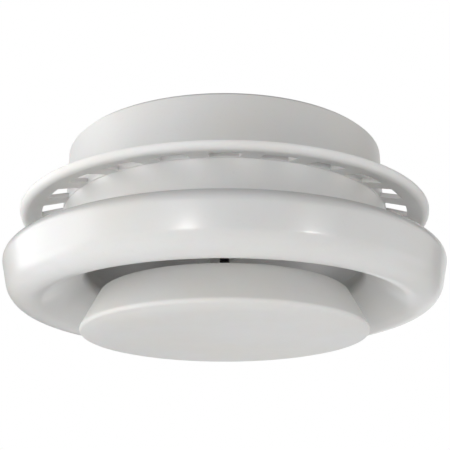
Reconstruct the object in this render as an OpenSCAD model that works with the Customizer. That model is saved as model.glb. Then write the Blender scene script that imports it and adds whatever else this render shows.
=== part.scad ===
// Ceiling air valve with a mounting collar, for a round duct of 125 mm.
// The origin is on the valve's axis, in the ceiling's plane. +Z points up into the duct.
// An angle in a profile is 0 outward, away from the axis, and 90 upward.

/* [Mounting collar] */
// Outer diameter of the spigot that slides into the duct
tube_d = 124; // [123:0.1:124.4]
// Outer diameter of the neck below the ceiling's plane
neck_d = 125.2; // [124.8:0.1:125.6]
// Wall of the tube
tube_wall = 1.8; // [1.6:0.1:2]
// Height of the spigot above the ceiling's plane
spigot_h = 22.5; // [18:0.5:30]
// Length of the tube below the ceiling's plane
tube_drop = 18; // [16:0.5:18.5]
// Chamfer on both ends of the tube
tube_lead_in = 0.8; // [0.4:0.1:1]
// Outer radius of the flange's rim
rim_r = 78.85; // [78:0.05:79.5]
// Width of the rim
rim_w = 2.4; // [2:0.1:3]
// Rounding under the rim
rim_round = 2.4; // [2:0.1:2.6]
// Height of the rim's top, below the ceiling's plane
rim_top = -2.9; // [-3:0.1:-2]
// Slope of the dished flange, downward from its root
flange_slope = 16.5; // [14:0.5:18]
// Thickness of the flange's plate
flange_t = 1.8; // [1.4:0.1:2]
// Width of the flat seat around the neck that meets the ceiling
seat_w = 1; // [0.8:0.1:1.5]
// Slots around the flange's root
slot_count = 24; // [18:1:28]
// Width of the ledge between the neck and the slots
slot_ledge = 0.4; // [0.3:0.1:0.7]
// Radius of a slot's outer end
slot_outer_r = 70.7; // [68:0.1:72]
// Angle that a rib takes up between two slots
slot_rib_angle = 6; // [4:0.5:8]

/* [Valve ring] */
// Outer radius of the rounded ring
ring_r = 83.5; // [82.5:0.1:84]
// Height of the ring's top, below the ceiling's plane
ring_top = -18.3; // [-19:0.1:-18]
// Radius of the circle along the ring's highest line
crown_r = 73.5; // [72.5:0.1:74.5]
// Rounding across the ring's top
crown_round = 18; // [16:0.5:20]
// Rounding at the ring's shoulder
shoulder_round = 4; // [3.5:0.1:5]
// Height of the lip's lowest line
lip_bottom = -38.7; // [-39.5:0.1:-38]
// Radius of the circle along the lip's lowest line
lip_r = 73; // [72:0.1:74]
// Rounding of the lip
lip_round = 9; // [8:0.1:9.5]
// Slope of the air passage between the lip and the throat
passage_slope = 35; // [32:1:38]
// Radius of the throat
throat_r = 52.5; // [51.5:0.1:53]
// Rounding of the throat's edge
throat_round = 5; // [4:0.1:6]
// Wall of the ring's shell
ring_wall = 1.6; // [1.4:0.1:1.8]

/* [Sleeve] */
// Outer radius of the sleeve that plugs into the collar
sleeve_r = 59.3; // [59:0.05:59.5]
// Wall of the sleeve
sleeve_wall = 1.9; // [1.7:0.1:2]
// Height of the sleeve's top, below the ceiling's plane
sleeve_top = -2; // [-3:0.1:-1]
// Height of the seal along the sleeve
seal_h = 4; // [3:0.1:5]
// Gap between the seal and the collar's tube
seal_gap = 0.05; // [0.02:0.01:0.08]

/* [Bridge] */
// Spokes that carry the hub
spoke_count = 3; // [3:1:4]
// Thickness of a spoke
spoke_t = 3.7; // [3:0.1:4.2]
// Depth of a spoke along the axis
spoke_h = 10; // [8:0.5:11]
// Turn of the first spoke from the +Y axis, anticlockwise from above
spoke_turn = 11.5; // [0:0.5:20]
// Radius of the hub
hub_r = 7; // [6:0.1:8]
// Depth of the hub along the axis
hub_h = 13.5; // [12:0.5:14]
// Radius of the circle on which the bridge's screws stand
screw_circle_r = 54.2; // [53.8:0.1:54.6]

/* [Spindle] */
// Diameter of the spindle
spindle_d = 4; // [4:0.1:4.4]
// Height of the spindle's top end
spindle_top = 9; // [8:0.5:12]
// Play around the spindle in each threaded piece
thread_play = 0.05; // [0.02:0.01:0.08]
// Size of the nuts across their flats
nut_flats = 7; // [7:0.1:8]
// Height of the nuts
nut_h = 3.2; // [3:0.1:3.4]
// Thickness of the washers
washer_t = 0.8; // [0.6:0.1:0.8]
// Radius of the washers
washer_r = 4.5; // [4.5:0.1:5]

/* [Disc] */
// Largest radius of the disc
disc_r = 54.3; // [54:0.1:54.6]
// Height of the disc's lowest face
disc_bottom = -48.9; // [-49.5:0.1:-48]
// Radius of the disc's flat face
disc_flat_r = 44.5; // [42:0.5:46]
// Rounding between the flat face and the disc's edge
disc_crown_round = 34.5; // [32:0.5:38]
// Rounding of the disc's edge
disc_edge_round = 1.2; // [1:0.1:1.5]
// Angle of the disc's side above the horizontal
disc_side_angle = 63; // [62:0.5:65]
// Height of the top of the disc's side
disc_side_top = -32.8; // [-33.5:0.1:-32]
// Wall of the disc
disc_wall = 1.8; // [1.5:0.1:2]
// Ribs inside the disc
disc_rib_count = 6; // [4:1:8]

/* [Hidden] */

$fn = 96;
arc_step = 5;
overlap = 0.5;
moulding_gap = 0.03;

tube_r = tube_d / 2;
bore_r = tube_r - tube_wall;
neck_r = neck_d / 2;

crown_z = ring_top - crown_round;
shoulder_r = ring_r - shoulder_round;
shoulder_z = crown_z + sqrt(pow(crown_round - shoulder_round, 2) - pow(shoulder_r - crown_r, 2));
shoulder_angle = atan2(shoulder_z - crown_z, shoulder_r - crown_r);
lip_z = lip_bottom + lip_round;
side_angle = atan2(shoulder_z - lip_z, shoulder_r - lip_r)
    - acos((lip_round - shoulder_round) / norm([shoulder_r - lip_r, shoulder_z - lip_z]));
passage_angle = -90 - passage_slope;
throat_centre_r = throat_r + throat_round;
throat_z = lip_z + (lip_round - throat_round
    - cos(passage_angle) * (throat_centre_r - lip_r)) / sin(passage_angle);
free_edge_angle = 98;
throat_lip_h = 3;

sleeve_inner_r = sleeve_r - sleeve_wall;
sleeve_foot = throat_z - throat_round;
seal_depth = 1;
seal_drop = 3.5;

spoke_top = sleeve_top;
foot_t = 3;
foot_w = 9;
foot_inner_r = 50;
foot_outer_r = sleeve_inner_r - 0.8;
foot_z = spoke_top - spoke_h;
blade_inset = 0.7;
blade_chamfer = 1.2;
pad_h = 8;
pad_inner_r = 51.2;
screw_head_r = 2.5;
screw_head_h = 1.7;
screw_shank_r = 1.3;
screw_len = 9;
screw_drive_w = 0.8;
screw_drive_depth = 0.8;

spindle_r = spindle_d / 2;
thread_r = spindle_r + thread_play;
washer_hole_r = spindle_r + 0.2;
bush_r = 3.4;
bush_flange_r = 5;
bush_flange_t = 0.8;
lock_washer_z = spoke_top + bush_flange_t;
lock_nut_z = lock_washer_z + washer_t;

disc_crown_z = disc_bottom + disc_crown_round;
disc_edge_r = disc_r - disc_edge_round;
disc_edge_angle = -acos((disc_edge_r - disc_flat_r) / (disc_crown_round - disc_edge_round));
disc_edge_z = disc_crown_z + (disc_crown_round - disc_edge_round) * sin(disc_edge_angle);
disc_side_normal = 90 - disc_side_angle;
disc_side_foot = on_circle([disc_edge_r, disc_edge_z], disc_edge_round, disc_side_normal);
disc_side_top_r = disc_side_foot[0] - (disc_side_top - disc_side_foot[1]) / tan(disc_side_angle);
disc_floor = disc_bottom + disc_wall;
disc_boss_r = 6.5;
disc_boss_top = -39.5;
disc_rib_t = 1.5;
disc_rib_h = 3.5;
insert_r = 3.4;
insert_flange_r = 5;
insert_flange_t = 0.8;
insert_len = 7;
disc_washer_z = disc_boss_top + insert_flange_t;
disc_nut_z = disc_washer_z + washer_t;
spindle_bottom = disc_boss_top - insert_len + 1;

white = [0.93, 0.93, 0.92];
rubber_black = [0.12, 0.12, 0.13];
steel = [0.62, 0.63, 0.65];
dark_steel = [0.18, 0.18, 0.2];
brass = [0.78, 0.63, 0.32];

// The point of a circle at an angle.
function on_circle(centre, radius, angle) = centre + radius * [cos(angle), sin(angle)];

// Points along an arc, a few degrees apart, both ends included.
function arc(centre, radius, from, to) =
    let (steps = ceil(abs(to - from) / arc_step))
    [for (i = [0:steps]) on_circle(centre, radius, from + (to - from) * i / steps)];

// The ring's outline from its free edge, over the top and round the lip, to the throat's edge,
// moved inward by depth.
function ring_outline(depth) = concat(
    arc([crown_r, crown_z], crown_round - depth, free_edge_angle, shoulder_angle),
    arc([shoulder_r, shoulder_z], shoulder_round - depth, shoulder_angle, side_angle),
    arc([lip_r, lip_z], lip_round - depth, side_angle, passage_angle),
    arc([throat_centre_r, throat_z], throat_round - depth, passage_angle, -180),
    [[throat_r + depth, throat_z + throat_lip_h]]
);

function reversed(list) = [for (i = [len(list) - 1:-1:0]) list[i]];

module around(count, turn = 0) {
    for (i = [0:count - 1])
        rotate(turn + i * 360 / count) children();
}

// A tube around the axis from one height to another.
module pipe(outer_r, inner_r, z_low, z_high) {
    translate([0, 0, z_low])
        difference() {
            cylinder(h = z_high - z_low, r = outer_r);
            translate([0, 0, -overlap])
                cylinder(h = z_high - z_low + 2 * overlap, r = inner_r);
        }
}

module hex_nut(z_low) {
    bevel_r = nut_flats / 2 / cos(30);
    bevel_h = 0.5;
    translate([0, 0, z_low])
        difference() {
            intersection() {
                cylinder(h = nut_h, r = bevel_r, $fn = 6);
                rotate_extrude()
                    polygon([
                        [0, 0],
                        [bevel_r - bevel_h, 0],
                        [bevel_r, bevel_h],
                        [bevel_r, nut_h - bevel_h],
                        [bevel_r - bevel_h, nut_h],
                        [0, nut_h]
                    ]);
            }
            translate([0, 0, -overlap])
                cylinder(h = nut_h + 2 * overlap, r = thread_r);
        }
}

module washer(z_low) {
    pipe(washer_r, washer_hole_r, z_low, z_low + washer_t);
}

// A threaded insert with a flange on top.
module flanged_insert(body_r, flange_r, flange_t, z_low, z_top) {
    difference() {
        union() {
            translate([0, 0, z_low])
                cylinder(h = z_top - z_low + flange_t, r = body_r);
            translate([0, 0, z_top])
                cylinder(h = flange_t, r = flange_r);
        }
        translate([0, 0, z_low - overlap])
            cylinder(h = z_top - z_low + flange_t + 2 * overlap, r = thread_r);
    }
}

// The tube with the dished flange around it, which ends in a rim that is rounded from below.
module collar_body() {
    seat_r = neck_r + seat_w;
    slope = tan(flange_slope);
    rim_inner_r = rim_r - rim_w;
    rim_centre_r = rim_r - rim_round;
    rim_centre_z = rim_round / cos(flange_slope) - flange_t - (rim_centre_r - seat_r) * slope;
    rotate_extrude()
        polygon(concat(
            [
                [bore_r + tube_lead_in, -tube_drop],
                [neck_r - tube_lead_in / 2, -tube_drop],
                [neck_r, -tube_drop + tube_lead_in / 2],
                [neck_r, -flange_t],
                [seat_r, -flange_t]
            ],
            arc([rim_centre_r, rim_centre_z], rim_round, -90 - flange_slope, 0),
            [
                [rim_r, rim_top],
                [rim_inner_r, rim_top],
                [rim_inner_r, -(rim_inner_r - seat_r) * slope],
                [seat_r, 0],
                [tube_r, 0],
                [tube_r, spigot_h - tube_lead_in],
                [tube_r - tube_lead_in, spigot_h],
                [bore_r, spigot_h],
                [bore_r, -tube_drop + tube_lead_in]
            ]
        ));
}

// One slot through the flange, from the ledge outward.
module flange_slot() {
    slot_inner_r = neck_r + slot_ledge;
    slot_angle = 360 / slot_count - slot_rib_angle;
    slot_floor = -8;
    rotate(-slot_angle / 2)
        rotate_extrude(angle = slot_angle)
            translate([slot_inner_r, slot_floor])
                square([slot_outer_r - slot_inner_r, overlap - slot_floor]);
}

// The first slot faces -Y.
module mounting_collar() {
    color(white)
        difference() {
            collar_body();
            around(slot_count, -90) flange_slot();
        }
}

module ring_shell() {
    rotate_extrude()
        polygon(concat(ring_outline(0), reversed(ring_outline(ring_wall))));
}

// The blocks inside the sleeve that the bridge stands on.
module bridge_pads() {
    intersection() {
        pipe(sleeve_inner_r + overlap, pad_inner_r, foot_z - pad_h, foot_z);
        around(spoke_count, 90 + spoke_turn)
            translate([pad_inner_r - overlap, -foot_w / 2, foot_z - pad_h - overlap])
                cube([sleeve_r, foot_w, pad_h + 2 * overlap]);
    }
}

module valve_ring() {
    groove_z = sleeve_top - seal_drop - seal_h;
    color(white)
        difference() {
            union() {
                ring_shell();
                pipe(sleeve_r, sleeve_inner_r, sleeve_foot, sleeve_top);
                bridge_pads();
            }
            pipe(sleeve_r + overlap, sleeve_r - seal_depth, groove_z, groove_z + seal_h);
            around(spoke_count, 90 + spoke_turn)
                translate([screw_circle_r, 0, foot_z + foot_t - screw_len - overlap])
                    cylinder(h = screw_len, r = screw_shank_r + moulding_gap, $fn = 32);
        }
}

// A rubber ring that fills the sleeve's groove and bears on the collar with two low ridges.
module sleeve_seal() {
    inner_r = sleeve_r - seal_depth + moulding_gap;
    outer_r = bore_r - seal_gap;
    band_r = sleeve_r + 0.2;
    low = sleeve_top - seal_drop - seal_h + moulding_gap;
    high = sleeve_top - seal_drop - moulding_gap;
    color(rubber_black)
        rotate_extrude()
            polygon([
                [inner_r, low],
                [band_r, low],
                [outer_r, low + 0.6],
                [outer_r, low + 1.1],
                [band_r, low + 1.6],
                [band_r, high - 1.6],
                [outer_r, high - 1.1],
                [outer_r, high - 0.6],
                [band_r, high],
                [inner_r, high]
            ]);
}

// One spoke on edge, from inside the hub to its foot plate.
module spoke() {
    blade_start = hub_r - 2;
    blade_low = foot_z + blade_inset;
    blade_high = spoke_top - blade_inset;
    blade_end = foot_inner_r + blade_chamfer;
    translate([0, spoke_t / 2, 0])
        rotate([90, 0, 0])
            linear_extrude(height = spoke_t)
                polygon([
                    [blade_start, blade_low],
                    [blade_end, blade_low],
                    [blade_end, foot_z + foot_t + blade_chamfer],
                    [blade_end - blade_chamfer, blade_high],
                    [blade_start, blade_high]
                ]);
    translate([foot_inner_r, -foot_w / 2, foot_z])
        cube([foot_outer_r - foot_inner_r, foot_w, foot_t]);
}

module spoke_bridge() {
    color(white)
        difference() {
            union() {
                translate([0, 0, spoke_top - hub_h])
                    cylinder(h = hub_h, r = hub_r);
                around(spoke_count, 90 + spoke_turn) spoke();
            }
            translate([0, 0, spoke_top - hub_h - overlap])
                cylinder(h = hub_h + 2 * overlap, r = bush_r + moulding_gap);
            around(spoke_count, 90 + spoke_turn)
                translate([screw_circle_r, 0, foot_z - overlap])
                    cylinder(h = foot_t + 2 * overlap, r = screw_shank_r + 0.2, $fn = 32);
        }
}

module bridge_screw() {
    head_z = foot_z + foot_t;
    difference() {
        union() {
            translate([0, 0, head_z])
                cylinder(h = screw_head_h, r = screw_head_r, $fn = 32);
            translate([0, 0, head_z - screw_len + overlap])
                cylinder(h = screw_len, r = screw_shank_r, $fn = 32);
        }
        for (turn = [0, 90])
            rotate(turn)
                translate([-1.5, -screw_drive_w / 2, head_z + screw_head_h - screw_drive_depth])
                    cube([3, screw_drive_w, screw_drive_depth + overlap]);
    }
}

module bridge_screws() {
    color(steel)
        around(spoke_count, 90 + spoke_turn)
            translate([screw_circle_r, 0, 0])
                bridge_screw();
}

module hub_bush() {
    color(brass)
        flanged_insert(bush_r, bush_flange_r, bush_flange_t, spoke_top - hub_h, spoke_top);
}

module lock_washer() {
    color(steel) washer(lock_washer_z);
}

module lock_nut() {
    color(steel) hex_nut(lock_nut_z);
}

module spindle() {
    tip = 0.5;
    color(dark_steel)
        rotate_extrude()
            polygon([
                [0, spindle_bottom],
                [spindle_r - tip, spindle_bottom],
                [spindle_r, spindle_bottom + tip],
                [spindle_r, spindle_top - tip],
                [spindle_r - tip, spindle_top],
                [0, spindle_top]
            ]);
}

// The disc's hollow shell, open at the top of its sloping side.
module disc_shell() {
    side_shift = disc_wall / sin(disc_side_angle);
    crown_end = on_circle([disc_flat_r, disc_crown_z], disc_crown_round, disc_edge_angle);
    inner_foot_r = crown_end[0] - disc_wall;
    inner_foot_z = disc_side_foot[1]
        + (disc_side_foot[0] - side_shift - inner_foot_r) * tan(disc_side_angle);
    rotate_extrude()
        polygon(concat(
            [[0, disc_bottom]],
            arc([disc_flat_r, disc_crown_z], disc_crown_round, -90, disc_edge_angle),
            arc([disc_edge_r, disc_edge_z], disc_edge_round, disc_edge_angle, disc_side_normal),
            [
                [disc_side_top_r, disc_side_top],
                [disc_side_top_r - side_shift, disc_side_top],
                [inner_foot_r, inner_foot_z],
                [disc_flat_r, disc_floor],
                [0, disc_floor]
            ]
        ));
}

module disc_ribs() {
    around(disc_rib_count)
        translate([0, -disc_rib_t / 2, disc_floor - overlap])
            cube([disc_flat_r, disc_rib_t, disc_rib_h + overlap]);
}

module disc() {
    color(white)
        difference() {
            union() {
                disc_shell();
                disc_ribs();
                translate([0, 0, disc_floor - overlap])
                    cylinder(h = disc_boss_top - disc_floor + overlap, r = disc_boss_r);
            }
            translate([0, 0, disc_boss_top - insert_len])
                cylinder(h = insert_len + overlap, r = insert_r + moulding_gap);
        }
}

module disc_insert() {
    color(brass)
        flanged_insert(
            insert_r, insert_flange_r, insert_flange_t, disc_boss_top - insert_len, disc_boss_top
        );
}

module disc_washer() {
    color(steel) washer(disc_washer_z);
}

module disc_nut() {
    color(steel) hex_nut(disc_nut_z);
}

mounting_collar();
valve_ring();
sleeve_seal();
spoke_bridge();
bridge_screws();
hub_bush();
lock_washer();
lock_nut();
spindle();
disc();
disc_insert();
disc_washer();
disc_nut();
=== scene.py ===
import math

import bmesh
import bpy
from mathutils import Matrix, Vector


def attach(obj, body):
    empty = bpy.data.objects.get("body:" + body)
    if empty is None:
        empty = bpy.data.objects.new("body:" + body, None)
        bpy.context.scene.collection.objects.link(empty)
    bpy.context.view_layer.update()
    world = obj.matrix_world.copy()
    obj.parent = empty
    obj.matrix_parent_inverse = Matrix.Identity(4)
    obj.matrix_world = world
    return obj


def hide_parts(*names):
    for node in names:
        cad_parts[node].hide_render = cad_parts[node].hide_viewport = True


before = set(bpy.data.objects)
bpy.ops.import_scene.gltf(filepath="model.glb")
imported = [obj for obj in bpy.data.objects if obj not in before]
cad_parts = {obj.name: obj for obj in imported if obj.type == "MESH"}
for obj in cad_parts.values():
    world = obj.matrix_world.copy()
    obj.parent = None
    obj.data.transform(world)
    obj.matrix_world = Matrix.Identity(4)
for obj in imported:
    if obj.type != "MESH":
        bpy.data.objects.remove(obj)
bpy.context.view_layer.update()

# Sizes are in millimetres and angles in degrees, as in the design. Meshes are made in metres.
MM = 0.001
SEGMENTS = 360
ARC_STEP = 3
ROUND_STEP = 18
EDGE = 0.25
FIT_GAP = 0.03
OVERLAP = 0.5
NODE_CREASE = 30

# Mounting collar
TUBE_R = 62.0
NECK_R = 62.6
BORE_R = 60.2
SPIGOT_H = 22.5
TUBE_DROP = 18.0
LEAD_IN = 0.8
SEAT_R = 63.6
RIM_R = 78.85
RIM_W = 2.4
RIM_ROUND = 2.4
RIM_TOP = -2.9
RIM_EDGE_ROUND = 0.3
RIM_INNER_ROUND = 0.6
RIM_FOOT_ROUND = 0.4
SLOT_EDGE = 0.18
FLANGE_SLOPE = 16.5
FLANGE_T = 1.8
SLOT_PITCH = 15
SLOT_ANGLE = 9
SLOT_INNER_R = 63.0
SLOT_OUTER_R = 70.7

# Valve ring and its sleeve
RING_R = 83.5
RING_TOP = -18.3
CROWN_R = 73.5
CROWN_ROUND = 18.0
SHOULDER_ROUND = 4.0
LIP_BOTTOM = -38.7
LIP_R = 73.0
LIP_ROUND = 9.0
PASSAGE_SLOPE = 35
THROAT_R = 52.5
THROAT_ROUND = 5.0
THROAT_LIP_H = 3.0
FREE_EDGE_ANGLE = 98
RING_WALL = 1.6
RING_EDGE = 0.5
SLEEVE_R = 59.3
SLEEVE_INNER_R = 57.4
SLEEVE_TOP = -2.0
SEAL_H = 4.0
SEAL_DEPTH = 1.0
SEAL_LOW = -9.5
SEAL_OUTER_R = 60.15
SEAL_BAND_T = 0.2
SEAL_ROUND = 0.2
LIP_OUTER = 0.6
LIP_INNER = 1.1
LIP_FOOT = 1.6
PAD_INNER_R = 51.2
PAD_W = 9.0
PAD_TOP = -12.0
PAD_H = 8.0
PAD_OVERLAP = 0.7
PAD_ROUND = 0.4

# Bridge, its screws and the pieces on the hub
SPOKE_AZIMUTHS = (101.5, 221.5, 341.5)
HUB_H = 13.5
SCREW_CIRCLE_R = 54.2
SCREW_LEN = 9.0
SCREW_SHANK_R = 1.3
SCREW_HEAD_R = 2.5
SCREW_HEAD_H = 1.7
SCREW_HEAD_EDGE = 0.2
SCREW_HEAD_ROUND = 0.9
SCREW_DRIVE_W = 0.8
SCREW_DRIVE_DEPTH = 0.8
SCREW_DRIVE_REACH = 1.5
SCREW_PITCH = 0.9
SCREW_THREAD_DEPTH = 0.25
SCREW_TIP = 0.6
SHANK_OVERLAP = 0.2
FOOT_T = 3.0
BUSH_R = 3.4
BUSH_FLANGE_R = 5.0
BUSH_FLANGE_T = 0.8
BAND_DEPTH = 0.15
BAND_STARTS = (0.12, 0.55)
BAND_SHARE = 0.33
BAND_RAMP = 0.2
BUSH_CHAMFER = 0.3
BUSH_FLANGE_UNDER_ROUND = 0.15
BUSH_FLANGE_ROUND = 0.2
WASHER_R = 4.5
WASHER_HOLE_R = 2.2
WASHER_T = 0.8
WASHER_ROUND = 0.12
BRIDGE_EDGE = 0.35
NUT_EDGE = 0.12

# Spindle
SPINDLE_R = 2.0
SPINDLE_TOP = 9.0
SPINDLE_BOTTOM = -45.5
THREAD_PITCH = 0.7
THREAD_DEPTH = 0.38
THREAD_BORE_R = 2.05
THREAD_CREST = 0.06
THREAD_FLANK = 0.32
SPINDLE_TIP = 0.5

# Disc
DISC_R = 54.3
DISC_BOTTOM = -48.9
DISC_FLAT_R = 44.5
DISC_CROWN_ROUND = 34.5
DISC_EDGE_ROUND = 1.2
DISC_SIDE_ANGLE = 63
DISC_SIDE_TOP = -32.8
DISC_WALL = 1.8
DISC_TOP_ROUND = 0.5
DISC_FOOT_ROUND = 1.5
DISC_FLOOR_ROUND = 2.0
DISC_RIBS = 6
DISC_RIB_T = 1.5
DISC_RIB_H = 3.5
BOSS_R = 6.5
BOSS_TOP = -39.5
BOSS_FOOT_ROUND = 0.6
BOSS_TOP_ROUND = 0.4
INSERT_LEN = 7.0


# ---------------------------------------------------------------- outlines

def on_circle(centre, radius, angle):
    """The point of a circle at an angle, where 0 is outward and 90 is up."""
    turn = math.radians(angle)
    return (centre[0] + radius * math.cos(turn), centre[1] + radius * math.sin(turn))


def arc(centre, radius, start, end):
    """Points along an arc, a few degrees apart, both ends included."""
    steps = math.ceil(abs(end - start) / ARC_STEP)
    return [on_circle(centre, radius, start + (end - start) * i / steps) for i in range(steps + 1)]


def rounded(corners):
    """The points of a closed outline. A corner (r, z, rounding) becomes an arc, a corner (r, z) stays."""
    points = []
    for i, corner in enumerate(corners):
        if len(corner) == 2:
            points.append(corner)
            continue
        here = Vector(corner[:2])
        before = Vector(corners[i - 1][:2]) - here
        after = Vector(corners[(i + 1) % len(corners)][:2]) - here
        half = before.angle(after) / 2
        reach = min(corner[2] / math.tan(half), before.length / 2.1, after.length / 2.1)
        radius = reach * math.tan(half)
        start = here + before.normalized() * reach
        end = here + after.normalized() * reach
        bisector = (before.normalized() + after.normalized()).normalized()
        centre = here + bisector * (radius / math.sin(half))
        first = math.atan2(start.y - centre.y, start.x - centre.x)
        turn = math.atan2(end.y - centre.y, end.x - centre.x) - first
        turn = (turn + math.pi) % (2 * math.pi) - math.pi
        steps = max(2, math.ceil(abs(math.degrees(turn)) / ROUND_STEP))
        for k in range(steps + 1):
            points.append(on_circle(centre, radius, math.degrees(first + turn * k / steps)))
    return points


def boxed(inner_r, outer_r, low, high, rounding=EDGE):
    """The outline of a rectangular section with rounded corners."""
    corners = ((inner_r, low), (outer_r, low), (outer_r, high), (inner_r, high))
    return rounded([(r, z, rounding) for r, z in corners])


# ---------------------------------------------------------------- meshes

def new_object(name, bm):
    """Turns a bmesh into an object with its normals outward."""
    bmesh.ops.recalc_face_normals(bm, faces=bm.faces)
    mesh = bpy.data.meshes.new(name)
    bm.to_mesh(mesh)
    bm.free()
    obj = bpy.data.objects.new(name, mesh)
    bpy.context.scene.collection.objects.link(obj)
    return obj


def turned_columns(bm, outline):
    """Columns of vertices, one per degree of azimuth. A point on the axis is shared by them all."""
    axis = {k: bm.verts.new((0, 0, z * MM)) for k, (r, z) in enumerate(outline) if r == 0}
    columns = []
    for j in range(SEGMENTS):
        turn = math.radians((j + 0.5) * 360 / SEGMENTS)
        columns.append([
            axis[k] if k in axis
            else bm.verts.new((r * MM * math.cos(turn), r * MM * math.sin(turn), z * MM))
            for k, (r, z) in enumerate(outline)
        ])
    return columns


def skin(bm, columns, closed=True, is_open=lambda column, row: False):
    """Faces between neighbouring columns, apart from where is_open says so."""
    rows = len(columns[0])
    for j in range(len(columns)):
        here = columns[j]
        there = columns[(j + 1) % len(columns)]
        for k in range(rows if closed else rows - 1):
            above = (k + 1) % rows
            if is_open(j, k) or (here[k] is there[k] and here[above] is there[above]):
                continue
            corners = (here[k], there[k], there[above], here[above])
            bm.faces.new(list(dict.fromkeys(corners)))


def turned(name, outline):
    """A turned piece: a closed outline swept around the axis."""
    bm = bmesh.new()
    skin(bm, turned_columns(bm, outline))
    return new_object(name, bm)


def block(name, low, high, azimuth=0):
    """A box between two corners, turned about the axis."""
    bm = bmesh.new()
    bmesh.ops.create_cube(bm, size=1)
    for vert in bm.verts:
        at = [low[i] + (high[i] - low[i]) * (vert.co[i] + 0.5) for i in range(3)]
        vert.co = Vector(at) * MM
    obj = new_object(name, bm)
    turn_about_axis(obj, azimuth)
    return obj


def turn_about_axis(obj, azimuth, shift=(0, 0, 0)):
    """Moves a mesh by shift, then turns it about the axis."""
    cosine = math.cos(math.radians(azimuth))
    sine = math.sin(math.radians(azimuth))
    for vert in obj.data.vertices:
        x, y, z = vert.co + Vector(shift) * MM
        vert.co = (x * cosine - y * sine, x * sine + y * cosine, z)


def bake(obj):
    """Replaces the object's mesh by its modified one."""
    graph = bpy.context.evaluated_depsgraph_get()
    mesh = bpy.data.meshes.new_from_object(obj.evaluated_get(graph))
    obj.modifiers.clear()
    obj.data = mesh


def combine(obj, tools, operation):
    """Adds the tools to the object, or cuts them from it, and deletes them."""
    for tool in tools:
        modifier = obj.modifiers.new("combine", "BOOLEAN")
        modifier.operation = operation
        modifier.solver = "EXACT"
        modifier.object = tool
        bake(obj)
        bpy.data.objects.remove(tool)


def bevel(obj, width, segments=2, angle=40):
    """Rounds the sharp edges of an object."""
    modifier = obj.modifiers.new("bevel", "BEVEL")
    modifier.width = width * MM
    modifier.segments = segments
    modifier.limit_method = "ANGLE"
    modifier.angle_limit = math.radians(angle)


def smooth(obj, angle=32):
    """Smooth faces, with a crease where the surface turns by more than the angle."""
    obj.data.polygons.foreach_set("use_smooth", [True] * len(obj.data.polygons))
    obj.data.set_sharp_from_angle(angle=math.radians(angle))


# ---------------------------------------------------------------- pieces

def collar_outline():
    """The collar's section. It holds the four points where the slots start and end."""
    slope = math.tan(math.radians(FLANGE_SLOPE))
    under_slot_z = -FLANGE_T - (SLOT_OUTER_R - SEAT_R) * slope
    top_slot_z = under_slot_z + FLANGE_T
    rim_inner_r = RIM_R - RIM_W
    rim_inner_z = -(rim_inner_r - SEAT_R) * slope
    rim_centre_r = RIM_R - RIM_ROUND
    under_rim_z = -FLANGE_T - (rim_centre_r - SEAT_R) * slope
    rim_centre_z = under_rim_z + RIM_ROUND / math.cos(math.radians(FLANGE_SLOPE))
    slot_points = [
        (SLOT_INNER_R, -FLANGE_T),
        (SLOT_OUTER_R, under_slot_z),
        (SLOT_OUTER_R, top_slot_z),
        (SLOT_INNER_R, 0.0),
    ]
    outline = rounded([
        (BORE_R + LEAD_IN, -TUBE_DROP, EDGE),
        (NECK_R - LEAD_IN / 2, -TUBE_DROP, EDGE),
        (NECK_R, -TUBE_DROP + LEAD_IN / 2, EDGE),
        (NECK_R, -FLANGE_T),
        slot_points[0],
        (SEAT_R, -FLANGE_T),
        slot_points[1],
        *arc((rim_centre_r, rim_centre_z), RIM_ROUND, -90 - FLANGE_SLOPE, 0),
        (RIM_R, RIM_TOP, RIM_EDGE_ROUND),
        (rim_inner_r, RIM_TOP, RIM_INNER_ROUND),
        (rim_inner_r, rim_inner_z, RIM_FOOT_ROUND),
        slot_points[2],
        (SEAT_R, 0.0),
        slot_points[3],
        (TUBE_R, 0.0),
        (TUBE_R, SPIGOT_H - LEAD_IN, EDGE),
        (TUBE_R - LEAD_IN, SPIGOT_H, EDGE),
        (BORE_R, SPIGOT_H, EDGE),
        (BORE_R, -TUBE_DROP + LEAD_IN, EDGE),
    ])
    return outline, [outline.index(point) for point in slot_points]


def in_slot(column):
    """Whether a degree of azimuth lies in a slot. The slots are centred on multiples of their pitch."""
    middle = column + 1
    from_centre = (middle + SLOT_PITCH / 2) % SLOT_PITCH - SLOT_PITCH / 2
    return abs(from_centre) < SLOT_ANGLE / 2


def collar_moulding():
    """The collar: the turned section with its row of slots left open and walled."""
    outline, (under_in, under_out, top_out, top_in) = collar_outline()
    bm = bmesh.new()
    columns = turned_columns(bm, outline)
    slot_rows = set(range(under_in, under_out)) | set(range(top_out, top_in))
    skin(bm, columns, is_open=lambda column, row: row in slot_rows and in_slot(column))
    wall_rows = list(range(under_in, under_out + 1)) + list(range(top_out, top_in + 1))
    for j in range(SEGMENTS):
        here = columns[j]
        there = columns[(j + 1) % SEGMENTS]
        if in_slot(j):
            bm.faces.new((here[under_in], there[under_in], there[top_in], here[top_in]))
            bm.faces.new((here[under_out], there[under_out], there[top_out], here[top_out]))
        if in_slot(j) != in_slot(j - 1):
            bm.faces.new([here[k] for k in wall_rows])
    unused = [vert for vert in bm.verts if not vert.link_faces]
    bmesh.ops.delete(bm, geom=unused, context="VERTS")
    obj = new_object("collar_moulding", bm)
    bevel(obj, SLOT_EDGE)
    bake(obj)
    return obj


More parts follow.
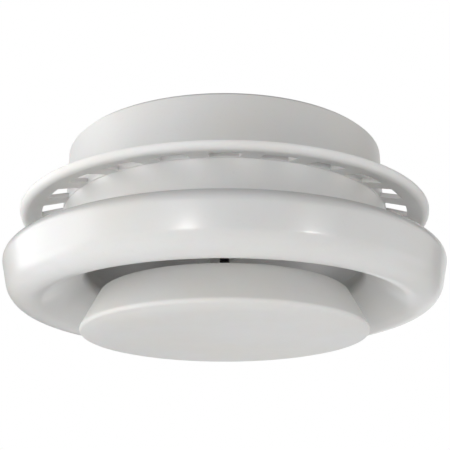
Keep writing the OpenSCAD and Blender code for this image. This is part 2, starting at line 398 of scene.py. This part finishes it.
def ring_side(depth):
    """One side of the ring's shell, from its free edge over the top and the lip to the throat."""
    crown = (CROWN_R, RING_TOP - CROWN_ROUND)
    shoulder_r = RING_R - SHOULDER_ROUND
    shoulder_rise = math.sqrt((CROWN_ROUND - SHOULDER_ROUND) ** 2 - (shoulder_r - CROWN_R) ** 2)
    shoulder = (shoulder_r, crown[1] + shoulder_rise)
    shoulder_angle = math.degrees(math.atan2(shoulder_rise, shoulder_r - CROWN_R))
    lip = (LIP_R, LIP_BOTTOM + LIP_ROUND)
    between = Vector(shoulder) - Vector(lip)
    side_angle = math.degrees(
        math.atan2(between.y, between.x) - math.acos((LIP_ROUND - SHOULDER_ROUND) / between.length))
    passage_angle = -90 - PASSAGE_SLOPE
    passage = math.radians(passage_angle)
    throat_r = THROAT_R + THROAT_ROUND
    throat_z = lip[1] + (LIP_ROUND - THROAT_ROUND
                         - math.cos(passage) * (throat_r - LIP_R)) / math.sin(passage)
    body = (arc(crown, CROWN_ROUND - depth, FREE_EDGE_ANGLE, shoulder_angle)
            + arc(shoulder, SHOULDER_ROUND - depth, shoulder_angle, side_angle)[1:]
            + arc(lip, LIP_ROUND - depth, side_angle, passage_angle)[1:])
    throat = arc((throat_r, throat_z), THROAT_ROUND - depth, passage_angle, -180)
    return body, throat, (THROAT_R + depth, throat_z + THROAT_LIP_H)


def ring_outline():
    """The ring's section: its shell, and the sleeve that rises from behind the air passage."""
    body, throat, throat_top = ring_side(0)
    back_body, back_throat, back_top = ring_side(RING_WALL)
    passage_end = back_body[-1]
    passage_start = back_throat[0]

    def behind_passage(r):
        """The height of the passage's back at a radius."""
        along = (r - passage_start[0]) / (passage_end[0] - passage_start[0])
        return passage_start[1] + along * (passage_end[1] - passage_start[1])

    groove_r = SLEEVE_R - SEAL_DEPTH
    sleeve = [
        (SLEEVE_INNER_R, behind_passage(SLEEVE_INNER_R), RING_EDGE),
        (SLEEVE_INNER_R, SLEEVE_TOP, RING_EDGE),
        (SLEEVE_R, SLEEVE_TOP, RING_EDGE),
        (SLEEVE_R, SEAL_LOW + SEAL_H, EDGE),
        (groove_r, SEAL_LOW + SEAL_H, EDGE),
        (groove_r, SEAL_LOW, EDGE),
        (SLEEVE_R, SEAL_LOW, EDGE),
        (SLEEVE_R, behind_passage(SLEEVE_R), RING_EDGE),
    ]
    free_edge = (*body[0], RING_EDGE)
    back_edge = (*back_body[0], RING_EDGE)
    return rounded(
        [free_edge] + body[1:] + throat[1:] + [(*throat_top, RING_EDGE), (*back_top, RING_EDGE)]
        + back_throat[::-1] + sleeve + back_body[:0:-1] + [back_edge])


def ring_moulding():
    """The ring with the pads that carry the bridge."""
    obj = turned("ring_moulding", ring_outline())
    low = PAD_TOP - PAD_H
    inner = (PAD_INNER_R, -PAD_W / 2, low)
    outer = (SLEEVE_INNER_R + PAD_OVERLAP, PAD_W / 2, PAD_TOP)
    pads = [block("pad", inner, outer, azimuth) for azimuth in SPOKE_AZIMUTHS]
    for pad in pads:
        bevel(pad, PAD_ROUND, segments=3)
        bake(pad)
    combine(obj, pads, "UNION")
    return obj


def disc_outline():
    """The disc's section, from the middle of its face round to its boss."""
    crown = (DISC_FLAT_R, DISC_BOTTOM + DISC_CROWN_ROUND)
    edge_r = DISC_R - DISC_EDGE_ROUND
    reach = DISC_CROWN_ROUND - DISC_EDGE_ROUND
    edge_angle = -math.degrees(math.acos((edge_r - DISC_FLAT_R) / reach))
    edge = on_circle(crown, reach, edge_angle)
    side_foot = on_circle(edge, DISC_EDGE_ROUND, 90 - DISC_SIDE_ANGLE)
    side_slope = math.tan(math.radians(DISC_SIDE_ANGLE))
    side_top_r = side_foot[0] - (DISC_SIDE_TOP - side_foot[1]) / side_slope
    side_shift = DISC_WALL / math.sin(math.radians(DISC_SIDE_ANGLE))
    foot_r = on_circle(crown, DISC_CROWN_ROUND, edge_angle)[0] - DISC_WALL
    foot_z = side_foot[1] + (side_foot[0] - side_shift - foot_r) * side_slope
    floor = DISC_BOTTOM + DISC_WALL
    hole_r = BUSH_R + FIT_GAP
    return rounded(
        [(0, DISC_BOTTOM)]
        + arc(crown, DISC_CROWN_ROUND, -90, edge_angle)
        + arc(edge, DISC_EDGE_ROUND, edge_angle, 90 - DISC_SIDE_ANGLE)[1:]
        + [
            (side_top_r, DISC_SIDE_TOP, DISC_TOP_ROUND),
            (side_top_r - side_shift, DISC_SIDE_TOP, DISC_TOP_ROUND),
            (foot_r, foot_z, DISC_FOOT_ROUND),
            (DISC_FLAT_R, floor, DISC_FLOOR_ROUND),
            (BOSS_R, floor, BOSS_FOOT_ROUND),
            (BOSS_R, BOSS_TOP, BOSS_TOP_ROUND),
            (hole_r, BOSS_TOP),
            (hole_r, BOSS_TOP - INSERT_LEN),
            (0, BOSS_TOP - INSERT_LEN),
        ])


def disc_moulding():
    """The disc with the ribs behind its face."""
    obj = turned("disc_moulding", disc_outline())
    floor = DISC_BOTTOM + DISC_WALL
    ribs = [
        block("rib", (BOSS_R - OVERLAP, -DISC_RIB_T / 2, floor - OVERLAP),
              (DISC_FLAT_R, DISC_RIB_T / 2, floor + DISC_RIB_H), i * 360 / DISC_RIBS)
        for i in range(DISC_RIBS)
    ]
    combine(obj, ribs, "UNION")
    return obj


def lip_seal():
    """The rubber seal: a band in the sleeve's groove with two soft lips."""
    inner_r = SLEEVE_R - SEAL_DEPTH + FIT_GAP
    band_r = SLEEVE_R + SEAL_BAND_T
    low = SEAL_LOW + FIT_GAP
    high = SEAL_LOW + SEAL_H - FIT_GAP
    corners = [
        (inner_r, low),
        (band_r, low),
        (SEAL_OUTER_R, low + LIP_OUTER),
        (SEAL_OUTER_R, low + LIP_INNER),
        (band_r, low + LIP_FOOT),
        (band_r, high - LIP_FOOT),
        (SEAL_OUTER_R, high - LIP_INNER),
        (SEAL_OUTER_R, high - LIP_OUTER),
        (band_r, high),
        (inner_r, high),
    ]
    return turned("lip_seal", rounded([(r, z, SEAL_ROUND) for r, z in corners]))


def threaded_rod(name, radius, low, high, pitch, depth, tip, segments=48, rows_per_turn=8):
    """A rod along Z with a right-hand thread of flat crests and a chamfer at each end."""
    rows = round((high - low) / pitch * rows_per_turn)
    bm = bmesh.new()
    columns = []
    for j in range(segments):
        turn = 2 * math.pi * j / segments
        column = []
        for i in range(rows + 1):
            z = low + (high - low) * i / rows
            from_crest = abs((z / pitch - j / segments) % 1 - 0.5)
            groove = min(max((from_crest - THREAD_CREST) / THREAD_FLANK, 0), 1)
            r = min(radius - depth * groove, radius - tip + z - low, radius - tip + high - z)
            column.append(bm.verts.new((r * MM * math.cos(turn), r * MM * math.sin(turn), z * MM)))
        columns.append(column)
    skin(bm, columns, closed=False)
    bm.faces.new([column[0] for column in columns])
    bm.faces.new([column[-1] for column in columns])
    return new_object(name, bm)


def flanged_insert(name, top, length):
    """A brass insert: a body with two raised bands under a thin flange."""
    low = top - length
    waist_r = BUSH_R - BAND_DEPTH
    bands = []
    for start in BAND_STARTS:
        band_low = low + start * length
        band_high = band_low + BAND_SHARE * length
        bands += [
            (waist_r, band_low - BAND_RAMP),
            (BUSH_R, band_low),
            (BUSH_R, band_high),
            (waist_r, band_high + BAND_RAMP),
        ]
    flange_top = top + BUSH_FLANGE_T
    return turned(name, rounded([
        (THREAD_BORE_R + BUSH_CHAMFER, low),
        (BUSH_R - BUSH_CHAMFER, low),
        (waist_r, low + BAND_RAMP),
        *bands,
        (waist_r, top),
        (BUSH_FLANGE_R, top, BUSH_FLANGE_UNDER_ROUND),
        (BUSH_FLANGE_R, flange_top, BUSH_FLANGE_ROUND),
        (THREAD_BORE_R + BUSH_CHAMFER, flange_top),
        (THREAD_BORE_R, flange_top - BUSH_CHAMFER),
        (THREAD_BORE_R, low + BUSH_CHAMFER),
    ]))


def bridge_screws():
    """Three pan-head screws with a cross recess and a threaded shank."""
    head_z = PAD_TOP + FOOT_T
    low = head_z - SCREW_LEN + OVERLAP
    screws = []
    for azimuth in SPOKE_AZIMUTHS:
        shank = threaded_rod(
            "shank", SCREW_SHANK_R, low, head_z + SHANK_OVERLAP, SCREW_PITCH, SCREW_THREAD_DEPTH, SCREW_TIP,
            segments=32)
        head = turned("head", rounded([
            (0, head_z),
            (SCREW_HEAD_R, head_z, SCREW_HEAD_EDGE),
            (SCREW_HEAD_R, head_z + SCREW_HEAD_H, SCREW_HEAD_ROUND),
            (0, head_z + SCREW_HEAD_H),
        ]))
        recess_z = head_z + SCREW_HEAD_H - SCREW_DRIVE_DEPTH
        recess_top = head_z + SCREW_HEAD_H + OVERLAP
        recess = [
            block("recess", (-half_x, -half_y, recess_z), (half_x, half_y, recess_top))
            for half_x, half_y in (
                (SCREW_DRIVE_REACH, SCREW_DRIVE_W / 2),
                (SCREW_DRIVE_W / 2, SCREW_DRIVE_REACH),
            )
        ]
        combine(head, recess, "DIFFERENCE")
        combine(head, [shank], "UNION")
        turn_about_axis(head, azimuth, (SCREW_CIRCLE_R, 0, 0))
        screws.append(head)
    bm = bmesh.new()
    for screw in screws:
        bm.from_mesh(screw.data)
        bpy.data.objects.remove(screw)
    return new_object("pan_screws", bm)


# ---------------------------------------------------------------- materials

class Nodes:
    """Short calls for building one material's nodes. Texture sizes are in millimetres."""

    def __init__(self, name):
        self.material = bpy.data.materials.new(name)
        self.material.use_nodes = True
        self.tree = self.material.node_tree
        self.shader = self.tree.nodes["Principled BSDF"]
        self.place = self.add("ShaderNodeTexCoord").outputs["Object"]

    def add(self, kind, **settings):
        node = self.tree.nodes.new(kind)
        for key, value in settings.items():
            setattr(node, key, value)
        return node

    def feed(self, socket, value):
        """Sets a socket to a value, or links it to another node."""
        if isinstance(value, bpy.types.NodeSocket):
            self.tree.links.new(value, socket)
        else:
            socket.default_value = value

    def noise(self, size, detail=2.0, stretch=(1, 1, 1)):
        """Noise whose features are about this size."""
        mapping = self.add("ShaderNodeMapping")
        self.feed(mapping.inputs["Vector"], self.place)
        mapping.inputs["Scale"].default_value = stretch
        noise = self.add("ShaderNodeTexNoise")
        self.feed(noise.inputs["Vector"], mapping.outputs["Vector"])
        noise.inputs["Scale"].default_value = 1 / (size * MM)
        noise.inputs["Detail"].default_value = detail
        return noise.outputs["Fac"]

    def spread(self, value, low, high, source=(0.35, 0.65)):
        """Maps a value from the source range to low and high."""
        node = self.add("ShaderNodeMapRange")
        self.feed(node.inputs["Value"], value)
        self.feed(node.inputs["From Min"], source[0])
        self.feed(node.inputs["From Max"], source[1])
        self.feed(node.inputs["To Min"], low)
        self.feed(node.inputs["To Max"], high)
        return node.outputs["Result"]

    def blend(self, factor, first, second):
        """Mixes two colours."""
        node = self.add("ShaderNodeMix", data_type="RGBA")
        self.feed(node.inputs[0], factor)
        for socket, colour in ((node.inputs[6], first), (node.inputs[7], second)):
            self.feed(socket, (*colour, 1) if isinstance(colour, tuple) else colour)
        return node.outputs[2]

    def maths(self, operation, first, second):
        node = self.add("ShaderNodeMath", operation=operation)
        self.feed(node.inputs[0], first)
        self.feed(node.inputs[1], second)
        return node.outputs[0]

    def rounded_normal(self, radius):
        """A normal that rounds sharp edges when shaded."""
        node = self.add("ShaderNodeBevel", samples=4)
        node.inputs["Radius"].default_value = radius * MM
        return node.outputs["Normal"]

    def edges(self, rounded):
        """1 along edges, 0 on open surfaces."""
        node = self.add("ShaderNodeVectorMath", operation="DOT_PRODUCT")
        self.feed(node.inputs[0], rounded)
        self.feed(node.inputs[1], self.add("ShaderNodeNewGeometry").outputs["Normal"])
        return self.spread(node.outputs["Value"], 1.0, 0.0, source=(0.85, 0.995))

    def bump(self, height, distance, normal):
        """Raises a height over a normal."""
        node = self.add("ShaderNodeBump")
        self.feed(node.inputs["Height"], height)
        node.inputs["Distance"].default_value = distance * MM
        self.feed(node.inputs["Normal"], normal)
        return node.outputs["Normal"]

    def finish(self, colour, roughness, normal, **levels):
        """Connects the shader and returns the material."""
        self.feed(self.shader.inputs["Base Color"], colour)
        self.feed(self.shader.inputs["Roughness"], roughness)
        self.feed(self.shader.inputs["Normal"], normal)
        for socket, level in levels.items():
            self.feed(self.shader.inputs[socket.replace("_", " ")], level)
        return self.material


def moulded_plastic(name, colour, roughness, grain, gloss=0.0):
    """White moulded plastic: a fine grain, faint flow marks, and edges rubbed a little lighter."""
    nodes = Nodes(name)
    rounded = nodes.rounded_normal(0.35)
    edges = nodes.edges(rounded)
    warm = tuple(c * k for c, k in zip(colour, (1.0, 0.985, 0.955)))
    cloud = nodes.spread(nodes.noise(38, 3), 0.0, 1.0)
    body = nodes.blend(cloud, colour, warm)
    specks = nodes.spread(nodes.noise(1.1, 2), 0.0, 0.12, source=(0.58, 0.8))
    body = nodes.blend(specks, body, tuple(c * 0.8 for c in colour))
    rubbed = tuple(min(c * 1.05, 0.96) for c in colour)
    body = nodes.blend(nodes.maths("MULTIPLY", edges, 0.6), body, rubbed)
    patchy = nodes.spread(nodes.noise(9, 4), roughness - 0.035, roughness + 0.035)
    worn = nodes.maths("ADD", patchy, nodes.maths("MULTIPLY", edges, 0.12))
    flow = nodes.bump(nodes.noise(16, 2, (1, 1, 0.5)), 0.035, rounded)
    fine = nodes.bump(nodes.noise(0.45, 3), grain, flow)
    return nodes.finish(
        body, worn, fine, Subsurface_Weight=0.12, Subsurface_Scale=0.0012,
        Coat_Weight=gloss, Coat_Roughness=0.16)


def plated_metal(name, colour, tint, roughness, grain_size):
    """Plated or turned metal: drawn streaks, patchy tint, and brighter worn edges."""
    nodes = Nodes(name)
    rounded = nodes.rounded_normal(0.12)
    edges = nodes.edges(rounded)
    patches = nodes.spread(nodes.noise(2.4, 3), 0.0, 1.0)
    body = nodes.blend(patches, colour, tint)
    bright = tuple(min(c * 1.35 + 0.03, 0.95) for c in colour)
    body = nodes.blend(nodes.maths("MULTIPLY", edges, 0.7), body, bright)
    streaks = nodes.noise(grain_size, 3, (1, 1, 7))
    rough = nodes.spread(streaks, roughness - 0.08, roughness + 0.1)
    normal = nodes.bump(streaks, 0.006, rounded)
    return nodes.finish(body, rough, normal, Metallic=1.0)


def rubber(name):
    """Black rubber with a dusty bloom and a soft sheen."""
    nodes = Nodes(name)
    bloom = nodes.spread(nodes.noise(3.5, 4), 0.0, 0.5)
    body = nodes.blend(bloom, (0.018, 0.018, 0.019), (0.055, 0.054, 0.052))
    rough = nodes.spread(nodes.noise(1.2, 3), 0.5, 0.72)
    normal = nodes.bump(nodes.noise(0.3, 3), 0.02, nodes.rounded_normal(0.15))
    return nodes.finish(body, rough, normal, Sheen_Weight=0.15)


def floor_paint(name):
    """A plain pale floor."""
    nodes = Nodes(name)
    body = nodes.blend(nodes.spread(nodes.noise(400, 2), 0.0, 1.0), (0.86, 0.86, 0.86), (0.83, 0.83, 0.83))
    normal = nodes.bump(nodes.noise(4, 3), 0.05, nodes.rounded_normal(0.1))
    return nodes.finish(body, 0.8, normal)


# ---------------------------------------------------------------- assembly

def place(obj, node, body, material):
    """Stands a new piece in for a CAD node, on its body, with its finish."""
    smooth(obj)
    obj.data.materials.append(material)
    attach(obj, body)
    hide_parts(node)


def repaint(node, material, bevel_width):
    """Gives a CAD node its finish and softens its edges."""
    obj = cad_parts[node]
    for slot in obj.material_slots:
        slot.material = material
    bevel(obj, bevel_width, segments=3, angle=NODE_CREASE)
    smooth(obj, NODE_CREASE)


def washer(name, low):
    """A flat ring that fits over the spindle."""
    return turned(name, boxed(WASHER_HOLE_R, WASHER_R, low, low + WASHER_T, WASHER_ROUND))


collar_plastic = moulded_plastic("collar_plastic", (0.8, 0.8, 0.795), 0.42, 0.012)
ring_plastic = moulded_plastic("ring_plastic", (0.71, 0.71, 0.705), 0.34, 0.006, gloss=0.3)
disc_plastic = moulded_plastic("disc_plastic", (0.72, 0.72, 0.715), 0.46, 0.014)
bridge_plastic = moulded_plastic("bridge_plastic", (0.66, 0.66, 0.65), 0.4, 0.01)
seal_rubber = rubber("seal_rubber")
zinc_steel = plated_metal("zinc_steel", (0.6, 0.61, 0.63), (0.56, 0.56, 0.53), 0.32, 0.5)
dark_steel = plated_metal("dark_steel", (0.07, 0.07, 0.075), (0.045, 0.045, 0.05), 0.42, 0.5)
insert_brass = plated_metal("insert_brass", (0.76, 0.58, 0.28), (0.62, 0.45, 0.2), 0.34, 0.6)

place(collar_moulding(), "mounting_collar", "collar", collar_plastic)
place(ring_moulding(), "valve_ring", "valve", ring_plastic)
place(lip_seal(), "sleeve_seal", "valve", seal_rubber)
place(bridge_screws(), "bridge_screws", "valve", zinc_steel)
place(flanged_insert("hub_insert", SLEEVE_TOP, HUB_H), "hub_bush", "valve", insert_brass)
place(washer("hub_washer", SLEEVE_TOP + BUSH_FLANGE_T), "lock_washer", "valve", zinc_steel)
place(
    threaded_rod(
        "threaded_spindle", SPINDLE_R, SPINDLE_BOTTOM, SPINDLE_TOP, THREAD_PITCH, THREAD_DEPTH, SPINDLE_TIP),
    "spindle", "spindle", dark_steel)
place(disc_moulding(), "disc", "disc", disc_plastic)
place(
    flanged_insert("boss_insert", BOSS_TOP, INSERT_LEN),
    "disc_insert", "disc", insert_brass)
place(washer("boss_washer", BOSS_TOP + BUSH_FLANGE_T), "disc_washer", "disc", zinc_steel)
repaint("spoke_bridge", bridge_plastic, BRIDGE_EDGE)
repaint("lock_nut", zinc_steel, NUT_EDGE)
repaint("disc_nut", zinc_steel, NUT_EDGE)


# ---------------------------------------------------------------- studio

CENTRE = Vector((0, 0, -0.015))
# Each light's azimuth (0 is the front, 90 the right), elevation, distance, width and power in watts.
LIGHTS = {
    "left": (-90, 5, 0.8, 0.9, 4.6),
    "front_left": (-45, 4, 0.8, 0.9, 1.6),
    "right": (90, 5, 0.8, 0.9, 1.6),
    "spot_left": (-17, -13, 0.8, 0.12, 1.0),
    "spot_right": (40, -13, 0.8, 0.1, 0.9),
    "behind": (165, 15, 0.8, 0.9, 2.0),
}
WORLD_LIGHT = 0.11
CAMERA_PLACE = (0, -0.3083, -0.1113)
CAMERA_PITCH = 19.21
CAMERA_LENS = 66.05
CAMERA_SENSOR = 36
CAMERA_SHIFT = (0.0009, 0.0046)
CAMERA_NEAR = 0.01
FLOOR_Z = -0.45
FLOOR_R = 2.5
FLOOR_SEGMENTS = 96
FLOOR_WASH_HEIGHT = 0.2
FLOOR_WASH_WIDTH = 5.0
FLOOR_WASH_POWER = 21.0


def soft_light(name, width, power):
    """A round area light that the camera doesn't see."""
    data = bpy.data.lights.new(name, "AREA")
    data.energy = power
    data.shape = "DISK"
    data.size = width
    light = bpy.data.objects.new(name, data)
    light.visible_camera = False
    bpy.context.scene.collection.objects.link(light)
    return light


def add_light(name, azimuth, elevation, distance, width, power):
    """A soft light that faces the object."""
    light = soft_light(name, width, power)
    turn = math.radians(azimuth)
    rise = math.radians(elevation)
    towards = Vector((math.sin(turn) * math.cos(rise), -math.cos(turn) * math.cos(rise), math.sin(rise)))
    light.location = CENTRE + towards * distance
    light.rotation_euler = towards.to_track_quat("Z", "Y").to_euler()


def add_floor_wash():
    """A wide light that faces the floor, which shines some of it back up at the object."""
    light = soft_light("floor_wash", FLOOR_WASH_WIDTH, FLOOR_WASH_POWER)
    light.location = (0, 0, FLOOR_Z + FLOOR_WASH_HEIGHT)


def add_world():
    """A white background, with a softer light of its own on the object."""
    world = bpy.data.worlds.new("studio")
    bpy.context.scene.world = world
    world.use_nodes = True
    tree = world.node_tree
    lighting = tree.nodes["Background"]
    lighting.inputs["Color"].default_value = (1, 1, 1, 1)
    lighting.inputs["Strength"].default_value = WORLD_LIGHT
    backdrop = tree.nodes.new("ShaderNodeBackground")
    backdrop.inputs["Color"].default_value = (1, 1, 1, 1)
    chooser = tree.nodes.new("ShaderNodeMixShader")
    path = tree.nodes.new("ShaderNodeLightPath")
    tree.links.new(path.outputs["Is Camera Ray"], chooser.inputs[0])
    tree.links.new(lighting.outputs[0], chooser.inputs[1])
    tree.links.new(backdrop.outputs[0], chooser.inputs[2])
    tree.links.new(chooser.outputs[0], tree.nodes["World Output"].inputs["Surface"])


def add_floor():
    """A wide round floor below the camera."""
    bm = bmesh.new()
    bmesh.ops.create_circle(bm, cap_ends=True, segments=FLOOR_SEGMENTS, radius=FLOOR_R)
    bmesh.ops.translate(bm, verts=bm.verts, vec=(0, 0, FLOOR_Z))
    floor = new_object("floor", bm)
    floor.data.materials.append(floor_paint("floor_paint"))


def add_camera():
    """The camera looks up at the front of the object."""
    data = bpy.data.cameras.new("camera")
    camera = bpy.data.objects.new("camera", data)
    bpy.context.scene.collection.objects.link(camera)
    bpy.context.scene.camera = camera
    camera.location = CAMERA_PLACE
    camera.rotation_euler = (math.radians(90 + CAMERA_PITCH), 0, 0)
    data.sensor_width = CAMERA_SENSOR
    data.lens = CAMERA_LENS
    data.shift_x, data.shift_y = CAMERA_SHIFT
    data.clip_start = CAMERA_NEAR


for light_name, settings in LIGHTS.items():
    add_light(light_name, *settings)
add_floor_wash()
add_world()
add_floor()
add_camera()
bpy.context.scene.view_settings.view_transform = "Standard"
